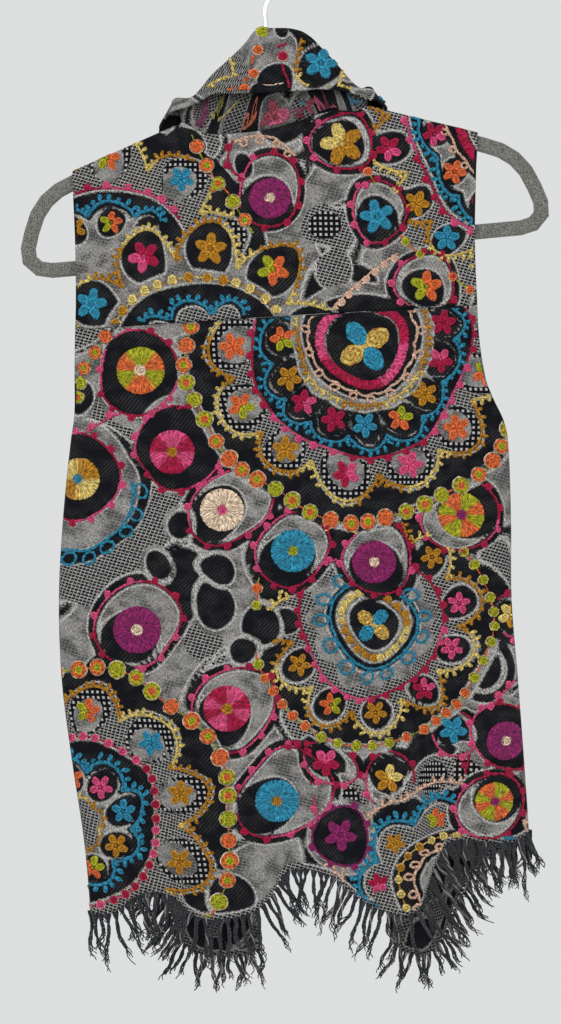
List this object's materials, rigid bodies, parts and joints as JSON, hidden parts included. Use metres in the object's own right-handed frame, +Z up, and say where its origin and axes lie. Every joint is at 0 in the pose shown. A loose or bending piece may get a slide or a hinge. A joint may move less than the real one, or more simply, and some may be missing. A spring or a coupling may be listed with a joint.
{
  "type": "vest on hanger",
  "caption": "Sleeveless open-front vest with a wide turned-down collar and ravelled hem, hung on a flocked hanger.",
  "frame": {"origin": "inside top of the hanger's hook, where a rod carries it", "axes": "+Z up, -Y out of the vest's back, +X towards the wearer's right side and the higher end of the hanger"},
  "size_m": [0.4449, 0.0576, 0.8863],
  "materials": {
    "cloth": "jacquard-woven and embroidered",
    "yarn": "ravelled yarn",
    "flock": "grey flock",
    "steel": "bright plated wire"
  },
  "bodies": {
    "root": {"back_yoke": "cloth", "back_panel": "cloth", "front_left": "cloth", "front_right": "cloth", "collar": "cloth", "back_fringe": "yarn", "front_left_fringe": "yarn", "front_right_fringe": "yarn", "hanger": "flock", "hanger_hook": "steel"}
  },
  "joints": []
}
